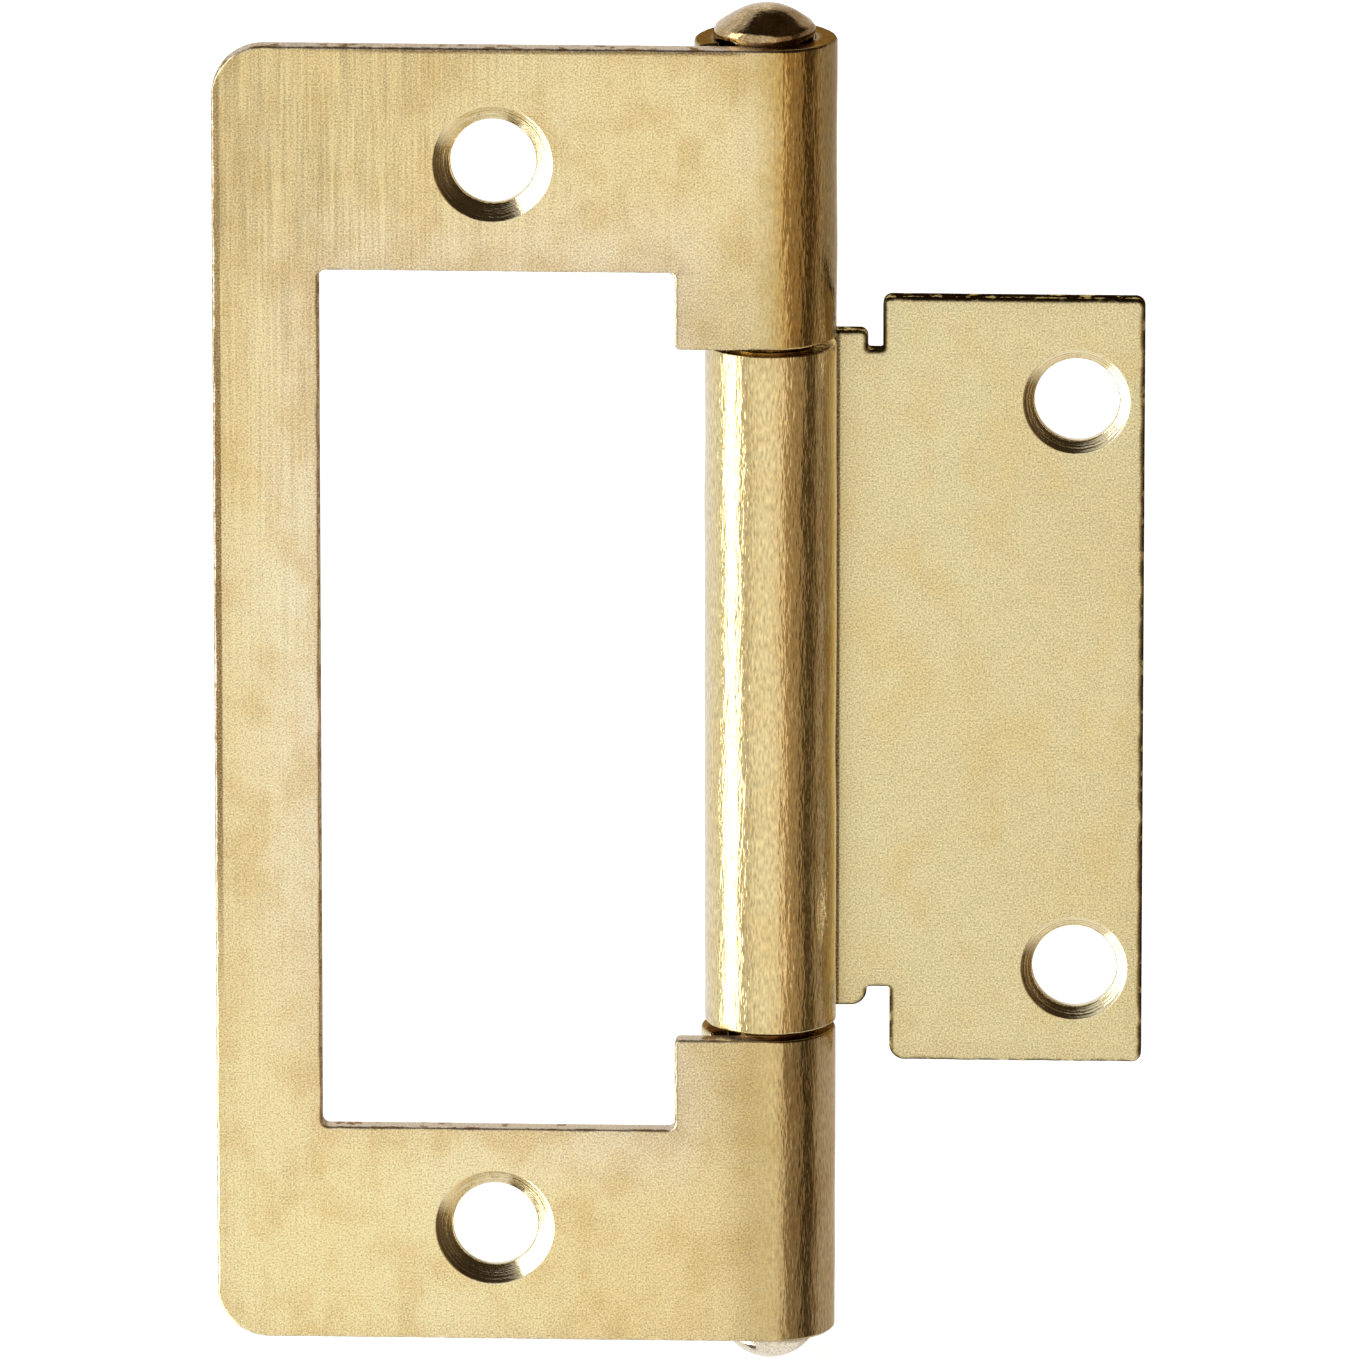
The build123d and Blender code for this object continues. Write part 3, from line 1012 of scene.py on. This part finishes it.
# %% [markdown]
# ## Studio
#
# Polished metal shows the room more than itself, so the light is a room drawn on the sky: a tall
# white panel on the left, a dark warm side on the right, a dark ceiling and white below. A small
# dark gap low on the left puts the dark mark on the upper right of the frame leaf's countersinks.
# Lamps would leave hot spots instead. The floor is plain and pale. It takes no part in
# reflections, so that the brass sees the even white below.

# %% Ring of the room
# Azimuth in degrees from the front towards the right, then the brightness and warmth there.
room_ring = [
    (-180, 0.95, 0.1), (-160, 0.92, 0.0), (-110, 0.92, 0.0), (-96, 0.86, 0.0), (-58, 0.80, 0.0),
    (-42, 0.62, 0.1), (-27, 0.96, 0.0), (3, 0.97, 0.0), (13, 0.88, 0.15), (24, 0.96, 0.45),
    (29, 0.44, 0.8), (46, 0.37, 0.85), (57, 0.34, 0.75), (63, 0.10, 0.95), (73, 0.06, 1.0),
    (82, 0.14, 0.9), (92, 0.29, 0.7), (104, 0.35, 0.5), (140, 0.42, 0.5), (162, 0.50, 0.5),
    (180, 0.95, 0.1),
]
last_stop = 0.9999


def warm_grey(level, warmth):
    """A grey of that level, drawn towards brown by its warmth."""
    return (level, level * (1 - 0.32 * warmth), level * (1 - 0.62 * warmth), 1)


def ring_colour(tree, azimuth):
    """Colour of the ring at an azimuth in radians."""
    ring = put(tree, "ShaderNodeValToRGB", {0: remap(tree, azimuth, -math.pi, math.pi, 0, 1)})
    stops = ring.color_ramp.elements
    for place, (degrees, level, warmth) in enumerate(room_ring):
        stop = stops[0] if place == 0 else stops.new(min((degrees + 180) / 360, last_stop))
        stop.color = warm_grey(level, warmth)
    stops.remove(stops[-1])
    return ring.outputs[0]


# %% White panel
# Sides of the panel on the plane x = -1: each fades over a span of y, or of z.
panel_front = (-0.70, -0.60)
panel_back = (-0.10, -0.06)
panel_bottom = (-2.0, -1.7)
panel_top = (1.0, 1.25)
flare_start = -0.3
flare_slope = 0.3


def panel_share(tree, x, y, z):
    """1 for directions to the panel and 0 off it. Its back side flares out towards the bottom."""
    leftwards = sums(tree, "MAXIMUM", times(tree, x, -1.0), 0.001)
    across = sums(tree, "DIVIDE", y, leftwards)
    upwards = sums(tree, "DIVIDE", z, leftwards)
    flare = sums(tree, "MAXIMUM", sums(tree, "SUBTRACT", flare_start, upwards), 0.0)
    unflared = sums(tree, "SUBTRACT", across, times(tree, flare, flare_slope))
    share = times(tree, remap(tree, across, *panel_front, 0, 1), remap(tree, unflared, *panel_back, 1, 0))
    share = times(tree, share, remap(tree, upwards, *panel_bottom, 0, 1))
    return times(tree, share, remap(tree, upwards, *panel_top, 1, 0))


# %% Room round the hinge
below_level = 0.92
below_fade = (math.radians(-50), math.radians(-30))
ceiling_level = 0.035
ceiling_fade = (math.radians(42), math.radians(58))
ceiling_drop = math.radians(35)
panel_level = 4.0
gap_level = 0.10
gap_direction = (-0.402, 0.242, -0.883)
gap_fade = (0.983, 0.990)


def make_room():
    """Sky whose colour depends on direction: the ring, white below, a dark ceiling, panel and gap."""
    world = bpy.data.worlds.new("studio_room")
    bpy.context.scene.world = world
    world.use_nodes = True
    tree = world.node_tree
    direction = put(tree, "ShaderNodeTexCoord").outputs["Generated"]
    x, y, z = put(tree, "ShaderNodeSeparateXYZ", {0: direction}).outputs
    azimuth = sums(tree, "ARCTAN2", x, times(tree, y, -1.0))
    elevation = sums(tree, "ARCSINE", z)
    above_floor = remap(tree, elevation, *below_fade, 0, 1)
    colour = tint(tree, above_floor, warm_grey(below_level, 0), ring_colour(tree, azimuth))
    roof_drop = times(tree, sums(tree, "MAXIMUM", x, 0.0), ceiling_drop)
    roofed = remap(tree, plus(tree, elevation, roof_drop), *ceiling_fade, 0, 1)
    colour = tint(tree, roofed, colour, warm_grey(ceiling_level, 1))
    colour = tint(tree, panel_share(tree, x, y, z), colour, warm_grey(panel_level, 0))
    towards_gap = put(tree, "ShaderNodeVectorMath", {0: direction, 1: gap_direction},
                      operation="DOT_PRODUCT").outputs["Value"]
    in_gap = remap(tree, towards_gap, *gap_fade, 0, 1)
    colour = tint(tree, in_gap, colour, warm_grey(gap_level, 1))
    tree.links.new(colour, tree.nodes["Background"].inputs["Color"])
    print("room with", len(room_ring), "stops on its ring,", len(tree.nodes), "nodes")


make_room()

# %% Floor
floor_half = 12.0
floor_z = pin_low[2] * MM
floor_glow = 0.8


def make_floor():
    """Flat square under the hinge, pale and softly lit from within, unseen in reflections."""
    corner = np.array(((-1, -1, 0), (1, -1, 0), (1, 1, 0), (-1, 1, 0)), float) * floor_half
    mesh = bpy.data.meshes.new("floor")
    mesh.from_pydata((corner + (0, 0, floor_z)).tolist(), [], [[0, 1, 2, 3]])
    floor = bpy.data.objects.new("floor", mesh)
    bpy.context.scene.collection.objects.link(floor)
    finish = bpy.data.materials.new("floor_white")
    finish.use_nodes = True
    shader = finish.node_tree.nodes["Principled BSDF"]
    shader.inputs["Base Color"].default_value = (0.9, 0.9, 0.9, 1)
    shader.inputs["Roughness"].default_value = 0.9
    shader.inputs["Specular IOR Level"].default_value = 0.0
    shader.inputs["Emission Color"].default_value = (1, 1, 1, 1)
    shader.inputs["Emission Strength"].default_value = floor_glow
    mesh.materials.append(finish)
    floor.visible_glossy = False
    print(f"floor at z {floor_z:.4f} m")


make_floor()

# %% [markdown]
# ## Camera
#
# The photograph was taken with a long lens from a little above and a touch to the right. The pin's
# axis and middle lie at a known place in the picture, so the aim is worked out from that place.

# %% Camera
picture_width = 1360
sensor = 36.0
lens = 565.0
distance = 1200.0
camera_azimuth = math.radians(2.3)
camera_elevation = math.radians(15.2)
pin_pixel = np.array((770.5, 685.0))

pixel_size = sensor * distance / (lens * picture_width)
right = np.array((math.cos(camera_azimuth), math.sin(camera_azimuth), 0))
back = np.array((
    math.sin(camera_azimuth) * math.cos(camera_elevation),
    -math.cos(camera_azimuth) * math.cos(camera_elevation),
    math.sin(camera_elevation),
))
up = np.cross(back, right)
off_centre = (pin_pixel - picture_width / 2) * pixel_size
aim = np.array((pin_x, pin_y, 0)) - right * off_centre[0] + up * off_centre[1]

lens_data = bpy.data.cameras.new("camera")
lens_data.lens = lens
lens_data.sensor_width = sensor
lens_data.clip_start = 0.1
lens_data.clip_end = 100.0
camera = bpy.data.objects.new("camera", lens_data)
bpy.context.scene.collection.objects.link(camera)
turned = Matrix((right, up, back)).transposed().to_4x4()
camera.matrix_world = Matrix.Translation(Vector((aim + back * distance) * MM)) @ turned
bpy.context.scene.camera = camera
bpy.context.scene.view_settings.view_transform = "Standard"
print("camera at", [round(v, 3) for v in camera.location])
